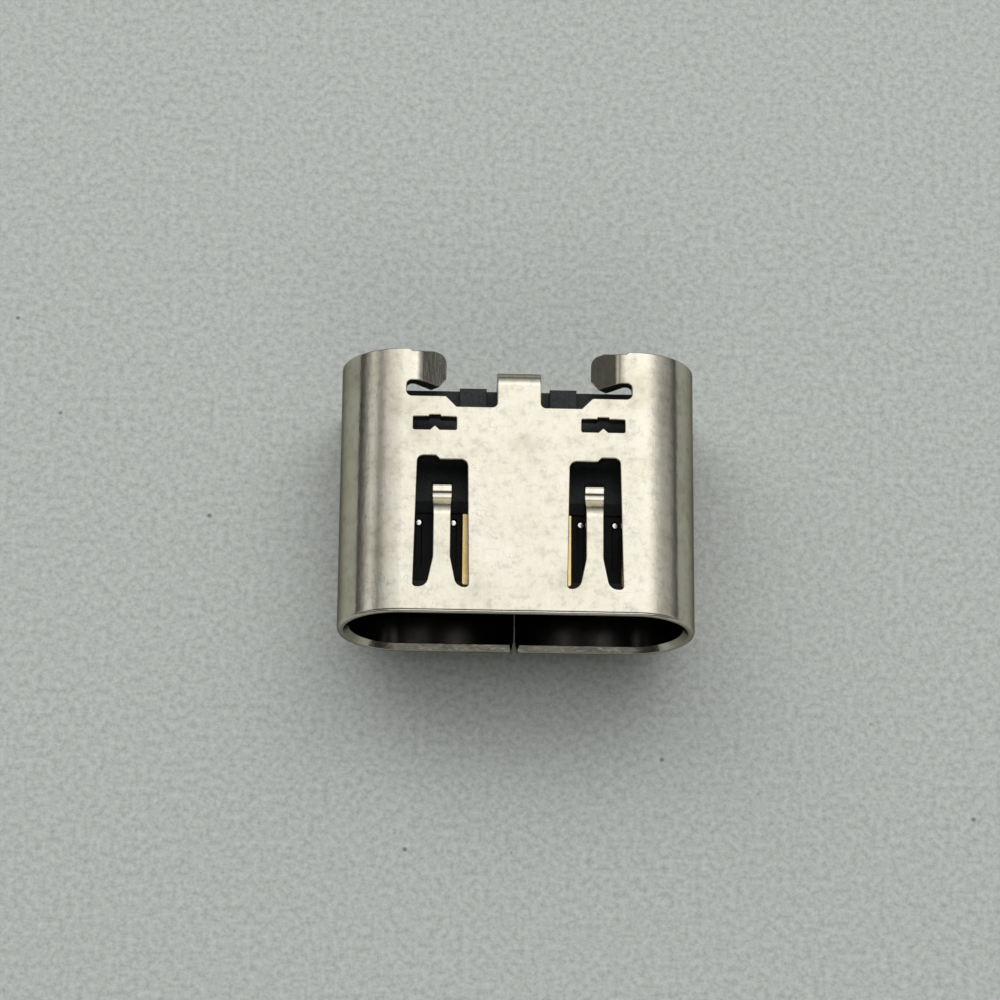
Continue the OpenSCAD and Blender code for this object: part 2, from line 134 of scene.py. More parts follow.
def round_edge(sheet, radius):
    """The profile of a sheet's edge with both corners rounded, as [how far in, height over the sheet's
    middle, how far the surface has turned from facing up]."""
    turned = [(radius * (1 - math.sin(a)), radius * (1 - math.cos(a)), a)
              for a in (math.pi / 6, math.pi / 3, math.pi / 2)]
    return ([(radius, sheet / 2, 0.0)] + [(back, sheet / 2 - drop, a) for back, drop, a in turned]
            + [(back, drop - sheet / 2, math.pi - a) for back, drop, a in turned[::-1]]
            + [(radius, -sheet / 2, math.pi)])


# A triangle of less than this in square millimetres is a row of points in one line
SLIVER = 1e-7


def edge_loop(points, hole, profile_at):
    """An outline as [edge point, the same set in by its edge, outward direction, bend line, edge profile],
    with the metal on its left."""
    if (signed_area(points) > 0) == hole:
        points = points[::-1]
    loop = []
    for i, here in enumerate(points):
        a = (here - points[i - 1]).normalized()
        b = (points[(i + 1) % len(points)] - here).normalized()
        out_a, out_b = Vector((a.y, -a.x)), Vector((b.y, -b.x))
        out = (out_a + out_b).normalized()
        profile = profile_at(here)
        loop.append([here, here - out * profile[0][0] / max(0.5, out.dot(out_a)), out, None, profile])
    return loop


def cut_loop(loop, line, mark):
    """Puts a point into the loop wherever its inner line crosses a bend line."""
    axis, value, low, high = line
    cut = []
    for i, (edge, inner, out, _, profile) in enumerate(loop):
        edge_b, inner_b, out_b, _, profile_b = loop[(i + 1) % len(loop)]
        cut.append(loop[i])
        a, b = inner[axis] - value, inner_b[axis] - value
        if (a < 0) == (b < 0):
            continue
        share = a / (a - b)
        other = inner[1 - axis] + (inner_b[1 - axis] - inner[1 - axis]) * share
        if low < other < high:
            between = [[u + (v - u) * share for u, v in zip(p, q)] for p, q in zip(profile, profile_b)]
            cut.append([edge.lerp(edge_b, share), inner.lerp(inner_b, share),
                        (out + out_b).normalized(), mark, between])
    return cut


def inside(point, loops):
    """Whether a point lies in the metal: an odd number of edges are passed on the way out."""
    odd = False
    x, y = point
    for loop in loops:
        last = loop[-1][1]
        for _, here, _, _, _ in loop:
            if (here.y > y) != (last.y > y):
                crossing = (last.x - here.x) * (y - here.y) / (last.y - here.y) + here.x
                if x < crossing:
                    odd = not odd
            last = here
    return odd


def stamped(name, outline, holes, bend_lines, fold, sheet, profile_at, material):
    """A flat blank folded by fold(x, y), which gives a point of the middle of the sheet and its two
    tangents. It is meshed as two skins and a rim, with the true normals of the bends, and
    profile_at(point) gives the profile of its edge there."""
    loops = [edge_loop(outline, False, profile_at)] + [edge_loop(h, True, profile_at) for h in holes]
    for mark, line in enumerate(bend_lines):
        loops = [cut_loop(loop, line, mark) for loop in loops]

    flat, crossing = [], {}
    for loop in loops:
        for point in loop:
            if point[3] is not None:
                crossing.setdefault(point[3], []).append(len(flat))
            flat.append(point[1])
    ties, start = [], 0
    for loop in loops:
        ties += [(start + i, start + (i + 1) % len(loop)) for i in range(len(loop))]
        start += len(loop)
    for mark, members in crossing.items():
        along = 1 - bend_lines[mark][0]
        members.sort(key=lambda i: flat[i][along])
        ties += list(zip(members[::2], members[1::2]))
    net, _, triangles, origin, _, _ = delaunay_2d_cdt(flat, ties, [], 0, 1e-7)
    place = {i: n for n, made_of in enumerate(origin) for i in made_of}
    kept = [t for t in triangles if signed_area([net[i] for i in t]) > SLIVER
            and inside(sum((net[i] for i in t), Vector((0, 0))) / 3, loops)]

    vertices, normals, faces = [], [], []

    def put(at, level, lean, out=Vector((0, 0))):
        where, across, along = fold(*at)
        face = across.cross(along).normalized()
        normal = face * math.cos(lean) + (across * out.x + along * out.y) * math.sin(lean)
        vertices.append((where + face * level) * MM)
        normals.append(normal.normalized())
        return len(vertices) - 1

    upper = [put(p, sheet / 2, 0.0) for p in net]
    lower = [put(p, -sheet / 2, math.pi) for p in net]
    for a, b, c in kept:
        faces += [(upper[a], upper[b], upper[c]), (lower[c], lower[b], lower[a])]
    start = 0
    for loop in loops:
        rings = [[upper[place[start + i]] for i in range(len(loop))]]
        for step in range(1, len(loop[0][4]) - 1):
            rings.append([])
            for edge, inner, out, _, profile in loop:
                back, level, lean = profile[step]
                rings[-1].append(put(edge.lerp(inner, back / profile[0][0]), level, lean, out))
        rings.append([lower[place[start + i]] for i in range(len(loop))])
        for above, below in zip(rings, rings[1:]):
            for i in range(len(loop)):
                j = (i + 1) % len(loop)
                faces.append((above[i], below[i], below[j], above[j]))
        start += len(loop)

    mesh = bpy.data.meshes.new(name)
    mesh.from_pydata([v + Vector((0, MOUTH_Y * MM, 0)) for v in vertices], [], faces)
    mesh.shade_smooth()
    mesh.normals_split_custom_set_from_vertices(normals)
    mesh.materials.append(material)
    piece = bpy.data.objects.new(name, mesh)
    bpy.context.scene.collection.objects.link(piece)
    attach(piece, "root")
    return piece


def lay_flat(height):
    """The fold of a blank that stays flat at one height above the board."""
    return lambda x, y: (Vector((x, y, height)), Vector((1, 0, 0)), Vector((0, 1, 0)))


# Stainless steel as it comes off the rolls: a dull grey sheen with fine lines along the strip.
rolled_stainless, tree, steel = new_material("rolled_stainless_plate")
steel.inputs["Base Color"].default_value = linear(PLATE_STEEL)
steel.inputs["Metallic"].default_value = 1.0
steel.inputs["Roughness"].default_value = 0.20
place = add(tree, "ShaderNodeTexCoord")
stretch = add(tree, "ShaderNodeMapping",
              {"Scale": (1 / (PLATE_GRAIN * MM), 1 / (PLATE_GRAIN_L * MM), 1 / MM)},
              {"Vector": place.outputs["Object"]})
lines = add(tree, "ShaderNodeTexNoise", {"Scale": 1.0, "Detail": 3.0}, {"Vector": stretch.outputs[0]})
bump = add(tree, "ShaderNodeBump", {"Strength": 0.4, "Distance": 0.002 * MM},
           {"Height": lines.outputs["Fac"]})
tree.links.new(bump.outputs[0], steel.inputs["Normal"])

half, deep = TONGUE_W / 2, TONGUE_W / 2 - LATCH_IN
plate_outline = rounded([
    [-half, PLATE_FRONT, PLATE_CORNER], [half, PLATE_FRONT, PLATE_CORNER]]
    + [[x, y, PLATE_STAMP_R] for x, y in (
        (half, LATCH_FRONT), (deep, LATCH_FRONT), (deep, LATCH_REAR), (half, LATCH_REAR),
        (half, PLATE_REAR), (-half, PLATE_REAR),
        (-half, LATCH_REAR), (-deep, LATCH_REAR), (-deep, LATCH_FRONT), (-half, LATCH_FRONT))])
mid_plate = stamped("stamped_mid_plate", plate_outline, [], [], lay_flat(MIDDLE_H), PLATE_T,
                    lambda point: round_edge(PLATE_T, PLATE_EDGE), rolled_stainless)
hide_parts("mid_plate")

# The plate's pips: each is pushed out of both faces as a stud that fills a hole in a carrier
PIP_SIDES = 24
# How wide the stud is, as a share of its diameter, at a height under its flat top
PIP_SHOULDER = [(0.50, 0.015), (0.48, 0.006), (0.44, 0.001), (0.40, 0.0)]
pip_rings = ([(wide, under - PIP_TOP) for wide, under in PIP_SHOULDER[::-1]]
             + [(wide, PIP_TOP - under) for wide, under in PIP_SHOULDER])
points, faces = [], []
for x in [side * x for x in PIP_XS for side in (-1, 1)]:
    base = len(points)
    for wide, rise in pip_rings:
        for k in range(PIP_SIDES):
            turn = math.tau * k / PIP_SIDES
            points.append((x + PIP_D * wide * math.cos(turn), PIP_DEPTH + PIP_D * wide * math.sin(turn),
                           MIDDLE_H + rise))
    for start in range(base, base + PIP_SIDES * (len(pip_rings) - 1), PIP_SIDES):
        for k in range(PIP_SIDES):
            a, b = start + k, start + (k + 1) % PIP_SIDES
            faces.append((a, b, b + PIP_SIDES, a + PIP_SIDES))
    faces.append(tuple(base + k for k in reversed(range(PIP_SIDES))))
    faces.append(tuple(len(points) - PIP_SIDES + k for k in range(PIP_SIDES)))
pip_mesh = bpy.data.meshes.new("plate_pips")
pip_mesh.from_pydata([(x * MM, (y + MOUTH_Y) * MM, z * MM) for x, y, z in points], [], faces)
pip_mesh.shade_smooth()
pip_mesh.materials.append(rolled_stainless)
pips = bpy.data.objects.new("plate_pips", pip_mesh)
bpy.context.scene.collection.objects.link(pips)
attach(pips, "root")

# Contacts: sixteen strips of copper alloy, stamped, bent and plated with gold, in two rows.
# Each lies in the tongue, jogs sideways inside the base and comes down to a tail on the board.

CONTACT_T = 0.15
CONTACT_EDGE = 0.02
# How far the contacts stand proud of the tongue
PROUD = 0.02
CONTACT_TOP = MIDDLE_H + TONGUE_T / 2 + PROUD
UPPER_H = CONTACT_TOP - CONTACT_T / 2
LOWER_H = SHELL_H - UPPER_H
# A contact's width on the tongue and the depth of its front end
POWER = (0.25, 1.15)
SIGNAL = (0.25, 1.45)
TAIL_W = 0.24
JOG_FRONT = 3.90
JOG_REAR = 5.05
DROP_FRONT = 5.25
DROP_ANGLE = 50
DROP_R = 0.12
TAIL_R = 0.18
TAIL_STANDS = 6.415
TAIL_END = 6.97
# Each contact's place from the middle, on the tongue and on the board, and its kind
CONTACTS = {
    "a1": (-2.75, -3.35, POWER), "a4": (-1.25, -2.55, POWER), "a5": (-0.75, -1.25, SIGNAL),
    "a6": (-0.25, -0.25, SIGNAL), "a7": (0.25, 0.25, SIGNAL), "a8": (0.75, 1.25, SIGNAL),
    "a9": (1.25, 2.55, POWER), "a12": (2.75, 3.35, POWER), "b12": (-2.75, -3.05, POWER),
    "b9": (-1.25, -2.25, POWER), "b8": (-0.75, -1.75, SIGNAL), "b7": (-0.25, -0.75, SIGNAL),
    "b6": (0.25, 0.75, SIGNAL), "b5": (0.75, 1.75, SIGNAL), "b4": (1.25, 2.25, POWER),
    "b1": (2.75, 3.05, POWER)}


def walk(run, legs):
    """How far forward and up a bent strip has come after run, and its heading.
    Each leg is a straight length, the turn after it in degrees, and the turn's radius."""
    forward = up = heading = 0.0
    for straight, turn, radius in legs:
        step = min(run, straight)
        forward += step * math.cos(heading)
        up += step * math.sin(heading)
        run -= step
        if run <= 0:
            break
        step = min(run, abs(math.radians(turn)) * radius)
        if step > 0:
            side = math.copysign(1, turn)
            ahead = heading + side * step / radius
            forward += side * radius * (math.sin(ahead) - math.sin(heading))
            up -= side * radius * (math.cos(ahead) - math.cos(heading))
            heading = ahead
            run -= step
        if run <= 0:
            break
    return forward + max(0, run) * math.cos(heading), up + max(0, run) * math.sin(heading), heading


def bend_places(legs, each):
    """Where along a bent strip its mesh needs a line: every few degrees round each bend."""
    places, run = [], 0.0
    for straight, turn, radius in legs:
        run += straight
        arc = abs(math.radians(turn)) * radius
        steps = math.ceil(abs(turn) / each)
        places += [run + arc * k / steps for k in range(steps + 1)] if steps else []
        run += arc
    return places, run


# Hard gold over nickel on drawn strip: a warm, slightly dull shine with faint lines along the strip.
hard_gold, tree, gold = new_material("hard_gold_plating")
gold.inputs["Metallic"].default_value = 1.0
gold.inputs["Roughness"].default_value = 0.26
place = add(tree, "ShaderNodeTexCoord")
blotch = add(tree, "ShaderNodeTexNoise", {"Scale": 1 / (0.4 * MM), "Detail": 3.0},
             {"Vector": place.outputs["Object"]})
tone = add(tree, "ShaderNodeValToRGB", {}, {"Fac": blotch.outputs["Fac"]})
ramp_stops(tone, [(0.3, "#E6C67E"), (0.7, "#F2D99A")])
tree.links.new(tone.outputs["Color"], gold.inputs["Base Color"])
stretch = add(tree, "ShaderNodeMapping", {"Scale": (1 / (0.02 * MM), 1 / (0.3 * MM), 1 / (0.3 * MM))},
              {"Vector": place.outputs["Object"]})
lines = add(tree, "ShaderNodeTexNoise", {"Scale": 1.0, "Detail": 2.0}, {"Vector": stretch.outputs[0]})
bump = add(tree, "ShaderNodeBump", {"Strength": 0.3, "Distance": 0.002 * MM},
           {"Height": lines.outputs["Fac"]})
tree.links.new(bump.outputs[0], gold.inputs["Normal"])

down_to_foot = LOWER_H - 2 * TAIL_R - CONTACT_T / 2
foot = (TAIL_END - TAIL_STANDS - TAIL_R, 0, 0)
drop_angle = math.radians(DROP_ANGLE)
drop_l = (UPPER_H - LOWER_H - 2 * DROP_R * (1 - math.cos(drop_angle))) / math.sin(drop_angle)
drop_run = 2 * DROP_R * math.sin(drop_angle) + drop_l * math.cos(drop_angle)
upper_legs = [(0, -DROP_ANGLE, DROP_R), (drop_l, DROP_ANGLE, DROP_R),
              (TAIL_STANDS - TAIL_R - DROP_FRONT - drop_run, -90, TAIL_R), (down_to_foot, 90, TAIL_R), foot]
lower_legs = [(TAIL_STANDS - TAIL_R - DROP_FRONT, -90, TAIL_R), (down_to_foot, 90, TAIL_R), foot]

for number, (on_tongue, on_board, (width, front)) in CONTACTS.items():
    height, legs = (UPPER_H, upper_legs) if number[0] == "a" else (LOWER_H, lower_legs)
    bends, length = bend_places(legs, 15)

    def contact_fold(x, y, height=height, legs=legs):
        if y <= DROP_FRONT:
            return Vector((x, y, height)), Vector((1, 0, 0)), Vector((0, 1, 0))
        forward, up, heading = walk(y - DROP_FRONT, legs)
        return (Vector((x, DROP_FRONT + forward, height + up)), Vector((1, 0, 0)),
                Vector((0, math.cos(heading), math.sin(heading))))

    w, v, end = width / 2, TAIL_W / 2, DROP_FRONT + length
    outline = rounded([
        [on_tongue - w, front, 0.05], [on_tongue + w, front, 0.05], [on_tongue + w, JOG_FRONT, 0],
        [on_board + v, JOG_REAR, 0], [on_board + v, end, 0.03], [on_board - v, end, 0.03],
        [on_board - v, JOG_REAR, 0], [on_tongue - w, JOG_FRONT, 0]])
    contact = stamped("plated_contact_" + number, outline, [],
                      [(1, DROP_FRONT + b, on_board - 1, on_board + 1) for b in bends],
                      contact_fold, CONTACT_T, lambda point: round_edge(CONTACT_T, CONTACT_EDGE), hard_gold)
    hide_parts("contact_" + number)

# Carriers and housing: glass filled liquid crystal polymer, moulded in two shots.
# The carriers hold one row of contacts each, and the housing is moulded over them and the mid plate.

# Glass filled LCP, matte, with short fibres that show as fine paler flecks. The overmould is charcoal, and
# the first shot is painted near black: painted shade for the dim insides of the windows, where it shows.
for node_name, finish, deep, pale in (("carrier", "moulded_lcp_first_shot_painted_shade", "#080808", "#131415"),
                                      ("housing", "moulded_lcp_overmould", "#2C2F30", "#3D4142")):
    lcp, tree, plastic = new_material(finish)
    plastic.inputs["IOR"].default_value = 1.60
    plastic.inputs["Specular IOR Level"].default_value = 0.16
    place = add(tree, "ShaderNodeTexCoord")
    grain = add(tree, "ShaderNodeTexNoise", {"Scale": 1 / (0.06 * MM), "Detail": 4.0},
                {"Vector": place.outputs["Object"]})
    tone = add(tree, "ShaderNodeValToRGB", {}, {"Fac": grain.outputs["Fac"]})
    ramp_stops(tone, [(0.35, deep), (0.72, pale)])
    tree.links.new(tone.outputs["Color"], plastic.inputs["Base Color"])
    flow = add(tree, "ShaderNodeTexNoise", {"Scale": 1 / (0.7 * MM), "Detail": 2.0},
               {"Vector": place.outputs["Object"]})
    dull = add(tree, "ShaderNodeMapRange", {"To Min": 0.42, "To Max": 0.60}, {"Value": flow.outputs["Fac"]})
    tree.links.new(dull.outputs[0], plastic.inputs["Roughness"])
    soft_edge = add(tree, "ShaderNodeBevel", {"samples": 6, "Radius": 0.03 * MM})
    bump = add(tree, "ShaderNodeBump", {"Strength": 0.5, "Distance": 0.004 * MM},
               {"Height": grain.outputs["Fac"], "Normal": soft_edge.outputs[0]})
    tree.links.new(bump.outputs[0], plastic.inputs["Normal"])
    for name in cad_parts:
        if name.endswith(node_name):
            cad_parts[name].material_slots[0].material = lcp

# Shell: one blank of stainless sheet, stamped, folded round the housing and plated with nickel.
# Its ends meet under the socket in a seam with a dovetail, and its legs go through the board.

SHEET = 0.30
SHELL_EDGE = round_edge(SHEET, 0.03)
# The mouth's edge has a radius of 0.09 outside and a chamfer of 0.15 inside, to lead the plug in.
# Each row is [how far in, height over the sheet's middle, how far the surface has turned].
MOUTH_EDGE = [(0.15, 0.15, 0.0), (0.09, 0.15, 0.0), (0.026, 0.124, 0.79), (0.0, 0.06, 1.57),
              (0.0, 0.02, 1.57), (0.015, -0.02, 2.36), (0.14, -0.145, 2.36), (0.15, -0.15, math.pi)]
FLAT_HALF = 2.89
ROUND_R = 1.43
QUARTER = ROUND_R * math.pi / 2
SIDE = FLAT_HALF + QUARTER
UNDER = SIDE + QUARTER
SEAM = UNDER + FLAT_HALF
EAR_REAR = 7.02
TAB_REAR = 7.11
ROOF_REAR = 5.74
RECESS = 5.46
RECESS_END = 1.57
RECESS_SLANT_END = 1.84
STOP = 6.22
# A strip's legs are [straight length, turn after it in degrees, radius of the turn]
EAR_FRONT = 6.16
EAR_BEND_FROM = 2.68
EAR_BEND = 44
EAR_LEGS = [(0, -EAR_BEND, 0.25), (0.82, 0, 0)]
# A length that shows straight is this much longer on the bent ear tab
EAR_STRETCH = 1 / math.cos(math.radians(EAR_BEND))
SLIT_END = 2.83
SLIT_R = 0.14
STOP_BEND_FROM = 6.05
STOP_LEGS = [(0, -90, 0.32), (0.59, 0, 0)]
STOP_HALF = 0.55
FINGER_X = 1.90
FINGER_HALF = 0.22
FINGER_END_HALF = 0.25
FINGER_END_FROM = 0.44
FINGER_FROM = 2.545
FINGER_LEGS = [(0, -37, 0.40), (0.213, 75, 0.35), (0.14, 0, 0)]
ROOT = 0.66
ROOT_LOW = 1.05
FLARE_L = 0.79
FLARE_HALF = 0.38
FLARE_OUT_R = 0.24
FLARE_IN_R = 0.50
WINDOW_IN = 1.23
WINDOW_OUT = 2.60
WINDOW_REAR = 4.03
WINDOW_REAR_OUT = 4.13
SLOT_IN = 1.57
SLOT_OUT = 2.65
SLOT_FRONT = 4.83
SLOT_REAR = 5.17
LEG_HALF = 0.55
LEG_GAP = 0.12
LEG_FRONT = 1.95
LEG_REAR = 6.13
LEG_L = MIDDLE_H + 0.70
LEG_CUT = SEAM - 2.80
LEG_TIP_R = 0.25
# The seam's two edges stand this far from its line, and the notch at the mouth is wider
SEAM_EDGE = 0.015
NOTCH_HALF = 0.07
NOTCH_DEPTH = 0.26
DOVETAIL_FRONT = 3.60
DOVETAIL_REAR = 4.70
DOVETAIL_REACH = 0.45
DOVETAIL_FLARE = 0.12
STAMP_R = 0.05
# The sharpest corner that leaves room for the rounded edge
SHARP_R = 0.04

ear_bends, ear_l = bend_places(EAR_LEGS, 6)
stop_bends, stop_l = bend_places(STOP_LEGS, 9)
finger_bends, finger_l = bend_places(FINGER_LEGS, 6)


def ring(s, d):
    """A point of the folded ring at s round it from the middle of the roof, and d deep."""
    if abs(s) <= FLAT_HALF:
        return Vector((s, d, SHELL_H - SHEET / 2)), Vector((1, 0, 0)), Vector((0, 1, 0))
    side = math.copysign(1, s)
    if abs(s) >= UNDER:
        return Vector((side * (SEAM - abs(s)), d, SHEET / 2)), Vector((-1, 0, 0)), Vector((0, 1, 0))
    turn = side * (abs(s) - FLAT_HALF) / ROUND_R
    return (Vector((side * FLAT_HALF + ROUND_R * math.sin(turn), d, MIDDLE_H + ROUND_R * math.cos(turn))),
            Vector((math.cos(turn), 0, -math.sin(turn))), Vector((0, 1, 0)))


def bent(s, d, hinge, legs):
    """The folded place of a point of a strip that leaves the ring at the depth hinge."""
    root, across, along = ring(s, hinge)
    forward, up, heading = walk(d - hinge, legs)
    face = across.cross(along)
    return (root + along * forward + face * up, across,
            along * math.cos(heading) + face * math.sin(heading))


def shell_fold(s, d):
    """The folded place of a point of the blank: a finger, a tab or a leg leaves the ring at its hinge.
    Each test reaches a little past its strip, to take in the strip's own edge."""
    side = math.copysign(1, s)
    from_middle = abs(s) if abs(s) < SIDE else SEAM - abs(s)
    on_finger = abs(from_middle - FINGER_X) < FINGER_END_HALF + 0.03
    if on_finger and FINGER_FROM < d < FINGER_FROM + finger_l + 0.1:
        return bent(s, d, FINGER_FROM, FINGER_LEGS)
    if d > STOP_BEND_FROM and abs(s) <= STOP_HALF + 0.01:
        return bent(s, d, STOP_BEND_FROM, STOP_LEGS)
    if d > EAR_FRONT - 0.1 and STOP_HALF < abs(s) < EAR_BEND_FROM:
        root, across, along = ring(side * EAR_BEND_FROM, d)
        forward, up, heading = walk(EAR_BEND_FROM - abs(s), EAR_LEGS)
        face = across.cross(along)
        return (root - across * side * forward + face * up,
                across * math.cos(heading) - face * side * math.sin(heading), along)
    on_front_leg = abs(d - LEG_FRONT) < LEG_HALF + LEG_GAP / 2
    on_rear_leg = d > LEG_REAR - LEG_HALF - LEG_GAP / 2
    if SIDE < abs(s) < SIDE + LEG_L + 0.03 and (on_front_leg or on_rear_leg):
        root, across, along = ring(side * SIDE, d)
        return root + across * side * (abs(s) - SIDE), across, along
    return ring(s, d)


def blank_half(tongue):
    """Half of the blank's outline, from the seam's notch at the mouth round to the middle of the roof.
    Where tongue is 1 the dovetail's socket is cut into the half, and where it is -1 the half carries it."""
    ear_end = EAR_BEND_FROM - ear_l
    low, high = LEG_REAR - LEG_HALF, LEG_REAR + LEG_HALF
    seam, gap = SEAM - SEAM_EDGE, tongue * SEAM_EDGE
    wide = seam - tongue * DOVETAIL_REACH
    return [
        [SEAM - NOTCH_HALF - 0.05, 0, 0], [SEAM - NOTCH_HALF, 0, 0.05], [seam, NOTCH_DEPTH, SHARP_R],
        [seam, DOVETAIL_FRONT - gap, SHARP_R], [wide, DOVETAIL_FRONT - DOVETAIL_FLARE - gap, SHARP_R],
        [wide, DOVETAIL_REAR + DOVETAIL_FLARE + gap, SHARP_R], [seam, DOVETAIL_REAR + gap, SHARP_R],
        [seam, STOP, SHARP_R],
        [LEG_CUT, STOP, SHARP_R], [LEG_CUT, low - LEG_GAP, STAMP_R], [SIDE, low - LEG_GAP, SHARP_R],
        [SIDE, low, SHARP_R], [SIDE + LEG_L, low, LEG_TIP_R], [SIDE + LEG_L, high, LEG_TIP_R],
        [SIDE, high, STAMP_R], [SIDE, EAR_REAR, STAMP_R],
        [EAR_BEND_FROM + 0.07, EAR_REAR, 0.05], [EAR_BEND_FROM, EAR_REAR - 0.07, 0.05],
        [ear_end + 0.33 * EAR_STRETCH, TAB_REAR, 0.10], [ear_end, TAB_REAR, 0.24],
        [ear_end, EAR_FRONT + 0.31, 0.05], [ear_end + 0.20 * EAR_STRETCH, EAR_FRONT, 0.05],
        [SLIT_END, EAR_FRONT, SLIT_R], [SLIT_END, ROOF_REAR, SLIT_R],
        [RECESS_SLANT_END, ROOF_REAR, 0.08], [RECESS_END, RECESS, SHARP_R], [STOP_HALF, RECESS, 0.13],
        [STOP_HALF, STOP_BEND_FROM + stop_l, 0.05]]


# The right side of the seam has the dovetail's socket and the left side carries the dovetail
left_half = [[-s, d, r] for s, d, r in blank_half(-1)]
shell_outline = rounded(blank_half(1) + left_half[::-1])


def window(root):
    """A window's outline round its finger, which grows out of the wall at the depth root."""
    flared, widened, tip = root + FLARE_L, FINGER_FROM + FINGER_END_FROM, FINGER_FROM + finger_l
    return rounded([
        [WINDOW_IN, root, 0.08], [FINGER_X - FLARE_HALF, root, FLARE_OUT_R],
        [FINGER_X - FINGER_HALF, flared, FLARE_IN_R], [FINGER_X - FINGER_HALF, FINGER_FROM, 0],
        [FINGER_X - FINGER_END_HALF, widened, 0], [FINGER_X - FINGER_END_HALF, tip, SHARP_R],
        [FINGER_X + FINGER_END_HALF, tip, SHARP_R], [FINGER_X + FINGER_END_HALF, widened, 0],
        [FINGER_X + FINGER_HALF, FINGER_FROM, 0], [FINGER_X + FINGER_HALF, flared, FLARE_IN_R],
        [FINGER_X + FLARE_HALF, root, FLARE_OUT_R], [WINDOW_OUT, root, 0.08],
        [WINDOW_OUT - 0.07, WINDOW_REAR_OUT, 0.17], [FINGER_X + 0.18, WINDOW_REAR_OUT, SHARP_R],
        [FINGER_X + 0.08, WINDOW_REAR, SHARP_R], [WINDOW_IN + 0.05, WINDOW_REAR, 0.19]])


# A locking slot has a small tooth in the middle of its front edge and a shallow step in its rear edge
slot_middle = (SLOT_IN + SLOT_OUT) / 2
slot = rounded([
    [SLOT_IN, SLOT_FRONT, SHARP_R], [slot_middle - 0.125, SLOT_FRONT, 0],
    [slot_middle, SLOT_FRONT + 0.12, SHARP_R], [slot_middle + 0.125, SLOT_FRONT, 0],
    [SLOT_OUT, SLOT_FRONT, SHARP_R], [SLOT_OUT, SLOT_REAR, SHARP_R],
    [slot_middle + 0.145, SLOT_REAR, 0], [slot_middle + 0.145, SLOT_REAR + 0.05, SHARP_R],
    [slot_middle - 0.145, SLOT_REAR + 0.05, SHARP_R], [slot_middle - 0.145, SLOT_REAR, 0],
    [SLOT_IN, SLOT_REAR, SHARP_R]])
low, high = LEG_FRONT - LEG_HALF, LEG_FRONT + LEG_HALF
leg_opening = rounded([
    [SIDE, low - LEG_GAP, SHARP_R], [LEG_CUT, low - LEG_GAP, STAMP_R], [LEG_CUT, high + LEG_GAP, STAMP_R],
    [SIDE, high + LEG_GAP, SHARP_R], [SIDE, high, SHARP_R], [SIDE + LEG_L, high, LEG_TIP_R],
    [SIDE + LEG_L, low, LEG_TIP_R], [SIDE, low, SHARP_R]])
shell_holes, bend_lines = [], []
for side in (-1, 1):
    mirrored = lambda points: [Vector((side * p.x, p.y)) for p in points]
    under = [Vector((SEAM - p.x, p.y)) for p in window(ROOT_LOW)]
    shell_holes += [mirrored(window(ROOT)), mirrored(under), mirrored(slot), mirrored(leg_opening)]
    bend_lines += [(0, side * (FLAT_HALF + QUARTER * k / 18), -1, 9) for k in range(37)]
    bend_lines += [(0, side * (EAR_BEND_FROM - b), EAR_FRONT - 0.2, TAB_REAR + 1) for b in ear_bends]
    for middle in (FINGER_X, SEAM - FINGER_X):
        bend_lines += [(1, FINGER_FROM + b, side * middle - 0.4, side * middle + 0.4) for b in finger_bends]
bend_lines += [(1, STOP_BEND_FROM + b, -1, 1) for b in stop_bends]

# Dull nickel on rolled stainless: a pale, slightly warm satin, with a faint rolled grain and old smudges.
# Its low Specular Tint keeps the round sides from turning white where they are seen at a slant.
satin_nickel, tree, nickel = new_material("satin_nickel_plating")
nickel.inputs["Metallic"].default_value = 1.0
nickel.inputs["Specular Tint"].default_value = (0.30, 0.29, 0.27, 1.0)
place = add(tree, "ShaderNodeTexCoord")
smudge = add(tree, "ShaderNodeTexNoise", {"Scale": 1 / (1.6 * MM), "Detail": 4.0, "Roughness": 0.6},
             {"Vector": place.outputs["Object"]})
mottle = add(tree, "ShaderNodeTexNoise", {"Scale": 1 / (0.22 * MM), "Detail": 3.0, "Roughness": 0.65},
             {"Vector": place.outputs["Object"]})
clean = add(tree, "ShaderNodeValToRGB", {}, {"Fac": smudge.outputs["Fac"]})
ramp_stops(clean, [(0.28, "#C4BFAB"), (0.46, "#DAD5C3"), (0.70, "#DEDACC")])
spots = add(tree, "ShaderNodeValToRGB", {}, {"Fac": mottle.outputs["Fac"]})
ramp_stops(spots, [(0.30, 0.78), (0.48, 0.95), (0.70, 1.0)])
tone = add(tree, "ShaderNodeMix", {"data_type": "RGBA", "blend_type": "MULTIPLY", "Factor": 1.0},
           {6: clean.outputs["Color"], 7: spots.outputs["Color"]})
wander = add(tree, "ShaderNodeTexNoise", {"Scale": 1 / (0.9 * MM), "Detail": 2.0, "Distortion": 1.2},
             {"Vector": place.outputs["Object"]})
line = add(tree, "ShaderNodeValToRGB", {}, {"Fac": wander.outputs["Fac"]})
ramp_stops(line, [(0.566, 0.0), (0.572, 1.0), (0.574, 1.0), (0.580, 0.0)])
patch = add(tree, "ShaderNodeValToRGB", {}, {"Fac": smudge.outputs["Fac"]})
ramp_stops(patch, [(0.50, 0.0), (0.62, 0.35)])
scratch = add(tree, "ShaderNodeMath", {"operation": "MULTIPLY"},
              {0: line.outputs["Color"], 1: patch.outputs["Color"]})
scuffed = add(tree, "ShaderNodeMix", {"data_type": "RGBA", "B": (0.20, 0.19, 0.17, 1.0)},
              {"Factor": scratch.outputs[0], 6: tone.outputs[2]})
tree.links.new(scuffed.outputs[2], nickel.inputs["Base Color"])
dull = add(tree, "ShaderNodeMapRange", {"From Min": 0.3, "From Max": 0.7, "To Min": 0.19, "To Max": 0.12},
           {"Value": smudge.outputs["Fac"]})
